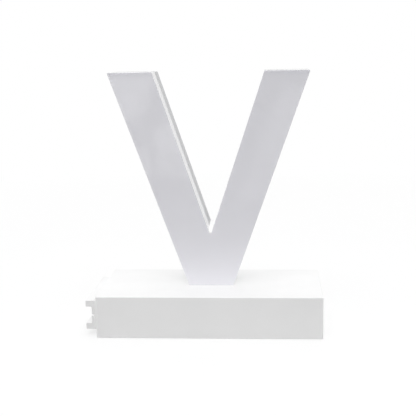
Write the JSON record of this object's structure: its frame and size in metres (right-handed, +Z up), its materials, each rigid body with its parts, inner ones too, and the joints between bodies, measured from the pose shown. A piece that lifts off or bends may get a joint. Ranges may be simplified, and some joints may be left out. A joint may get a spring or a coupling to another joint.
{
  "type": "light-up letter",
  "caption": "Light-up capital V with an opal front on a white block base with a slide switch, a battery door and couplings that join bases in a row.",
  "frame": {"origin": "middle of the base's footprint, on the surface that it stands on", "axes": "+Z up, +Y from the letter's face to its back, +X to the right as seen from the front"},
  "size_m": [0.1789, 0.0864, 0.1971],
  "materials": {
    "white_plastic": "satin moulded",
    "hook_plastic": "matte moulded",
    "opal_acrylic": "polished opal",
    "grey_plastic": "satin moulded",
    "black_plastic": "matte moulded",
    "rubber": "matte",
    "steel": "zinc plated",
    "brass": "tinned",
    "phenolic": "matte",
    "circuit_board": "solder mask",
    "lamp_board": "white solder mask",
    "lamp": "phosphor window",
    "cell_label": "printed sleeve",
    "aluminium_can": "plain",
    "red_lead": "PVC",
    "black_lead": "PVC",
    "white_lead": "PVC"
  },
  "bodies": {
    "base": {"base_shell": "white_plastic", "bottom_cover": "white_plastic", "cover_screws": "steel", "rubber_feet": "rubber", "cell_front": "cell_label", "cell_middle": "cell_label", "cell_back": "cell_label", "contact_springs": "steel", "contact_plates": "steel", "coupling_plate": "white_plastic", "upper_hook": "hook_plastic", "lower_hook": "hook_plastic", "hook_screws": "steel", "coupling_socket": "white_plastic", "switch_frame": "steel", "switch_base": "phenolic", "switch_terminals": "brass", "switch_screws": "steel", "driver_board": "circuit_board", "driver_chip": "black_plastic", "driver_coil": "black_plastic", "driver_capacitor": "aluminium_can", "lead_sockets": "hook_plastic", "board_screws": "steel", "battery_lead_plus": "red_lead", "battery_lead_minus": "black_lead", "switch_lead": "red_lead", "letter_lead_plus": "red_lead", "letter_lead_minus": "black_lead", "link_leads": "white_lead", "clamp_plate": "steel", "fixing_screws": "steel", "wire_grommet": "rubber", "opal_cap": "opal_acrylic", "rear_housing": "grey_plastic", "housing_screws": "steel", "lamp_strip_left": "lamp_board", "lamp_strip_right": "lamp_board", "lamps_left": "lamp", "lamps_right": "lamp", "strip_screws": "steel"},
    "battery_door": {"battery_door": "white_plastic"},
    "switch_knob": {"switch_knob": "black_plastic"}
  },
  "joints": [
    {"name": "switch_slide", "type": "slide", "parent": "base", "child": "switch_knob", "axis": [1, 0, 0], "range_m": [0, 0.004]},
    {"name": "battery_door_slide", "type": "slide", "parent": "base", "child": "battery_door", "axis": [0, 1, 0], "range_m": [0, 0.044]}
  ]
}
